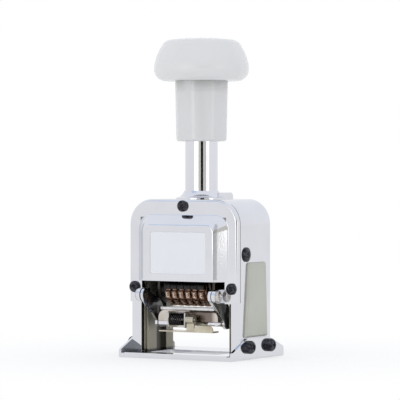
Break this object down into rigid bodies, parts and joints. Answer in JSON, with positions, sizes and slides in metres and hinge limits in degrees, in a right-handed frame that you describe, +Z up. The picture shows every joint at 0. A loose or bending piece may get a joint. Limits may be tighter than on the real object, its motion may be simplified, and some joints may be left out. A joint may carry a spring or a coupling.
{
  "type": "numbering machine",
  "caption": "Hand numbering machine with mushroom knob, sprung plunger, digit wheels, swinging ink pad, arch casting and print window in the base.",
  "frame": {"origin": "on the plunger's axis at the underside of the base plate", "axes": "+X to the right seen from the front, +Y to the back, +Z up along the plunger"},
  "size_m": [0.0836, 0.06, 0.185],
  "materials": {
    "chrome_plate": "mirror-bright chrome plating, faint ripple",
    "bright_steel": "ground steel",
    "spring_steel": "blued spring steel",
    "dark_steel": "oiled dark steel",
    "black_screw": "black oxide, slightly glossy",
    "type_bronze": "dark bronze, worn bright on the type",
    "bush_bronze": "sintered bronze",
    "tray_metal": "plated brown sheet metal",
    "knob_plastic": "smooth light grey moulding",
    "guide_plastic": "fine satin moulding, beige grey",
    "felt": "dense white felt",
    "label_white": "bare satin plate",
    "buffer_rubber": "matt black"
  },
  "bodies": {
    "housing": {"base_plate": "chrome_plate", "base_screws": "black_screw", "frame": "chrome_plate", "front_cover": "chrome_plate", "cover_screws": "black_screw", "side_screws": "black_screw", "label_plate": "label_white", "guide_insert_right": "guide_plastic", "guide_insert_left": "guide_plastic", "column_collar": "chrome_plate", "column_tube": "chrome_plate", "rod_bush": "bush_bronze", "stop_ring": "buffer_rubber", "ink_pivot_screws": "bright_steel"},
    "plunger": {"knob_cap": "knob_plastic", "grip_sleeve": "knob_plastic", "plunger_rod": "bright_steel", "rod_nut": "bright_steel", "spring_washer": "bright_steel", "main_spring": "spring_steel", "crosshead": "bright_steel", "side_plate_right": "dark_steel", "side_plate_left": "dark_steel", "guide_shoe_right": "dark_steel", "guide_shoe_left": "dark_steel", "plate_screws": "black_screw", "shoe_screws": "black_screw", "tie_rod": "bright_steel", "wheel_shaft": "bright_steel", "shaft_clips": "spring_steel", "shaft_spacers": "bright_steel", "comb_bar": "dark_steel", "detent_comb": "spring_steel", "comb_screws": "black_screw"},
    "pawl_carrier": {"pawl_arm_right": "dark_steel", "pawl_arm_left": "dark_steel", "pawl_bar": "bright_steel", "drive_pawl": "spring_steel"},
    "ink_carrier": {"ink_strap": "chrome_plate", "pad_tray": "tray_metal", "ink_pad": "felt", "latch_bracket": "bright_steel", "latch_pin": "bright_steel", "latch_spring": "spring_steel"},
    "pad_latch": {"finger_tab": "tray_metal"},
    "wheel_1": {"digit_wheel_1": "type_bronze"},
    "wheel_2": {"digit_wheel_2": "type_bronze"},
    "wheel_3": {"digit_wheel_3": "type_bronze"},
    "wheel_4": {"digit_wheel_4": "type_bronze"},
    "wheel_5": {"digit_wheel_5": "type_bronze"},
    "wheel_6": {"digit_wheel_6": "type_bronze"}
  },
  "joints": [
    {"name": "plunger_slide", "type": "slide", "parent": "housing", "child": "plunger", "axis": [0, 0, -1], "range_m": [0, 0.0292], "stiffness_N_per_m": 420, "springref_m": -0.02, "deforming": ["main_spring"]},
    {"name": "ink_swing", "type": "hinge", "parent": "housing", "child": "ink_carrier", "pos_m": [0, -0.0262, 0.0364], "axis": [-1, 0, 0], "range_deg": [0, 109]},
    {"name": "pad_latch_turn", "type": "hinge", "parent": "ink_carrier", "child": "pad_latch", "pos_m": [0, -0.02025, 0.0225], "axis": [-1, 0, 0], "range_deg": [0, 12], "stiffness_Nm_per_rad": 0.02, "springref_deg": -17.19},
    {"name": "pawl_rock", "type": "hinge", "parent": "plunger", "child": "pawl_carrier", "pos_m": [0, -0.0095, 0.0393], "axis": [-1, 0, 0], "range_deg": [0, 37]},
    {"name": "wheel_1_turn", "type": "hinge", "parent": "plunger", "child": "wheel_1", "pos_m": [0, -0.0095, 0.0393], "axis": [1, 0, 0], "continuous": true},
    {"name": "wheel_2_turn", "type": "hinge", "parent": "plunger", "child": "wheel_2", "pos_m": [0, -0.0095, 0.0393], "axis": [1, 0, 0], "continuous": true},
    {"name": "wheel_3_turn", "type": "hinge", "parent": "plunger", "child": "wheel_3", "pos_m": [0, -0.0095, 0.0393], "axis": [1, 0, 0], "continuous": true},
    {"name": "wheel_4_turn", "type": "hinge", "parent": "plunger", "child": "wheel_4", "pos_m": [0, -0.0095, 0.0393], "axis": [1, 0, 0], "continuous": true},
    {"name": "wheel_5_turn", "type": "hinge", "parent": "plunger", "child": "wheel_5", "pos_m": [0, -0.0095, 0.0393], "axis": [1, 0, 0], "continuous": true},
    {"name": "wheel_6_turn", "type": "hinge", "parent": "plunger", "child": "wheel_6", "pos_m": [0, -0.0095, 0.0393], "axis": [1, 0, 0], "continuous": true}
  ],
  "couplings": [
    {"joint": "ink_swing", "follows": "plunger_slide", "rad_per_m": 64.577},
    {"joint": "pawl_rock", "follows": "plunger_slide", "rad_per_m": 21.518}
  ]
}
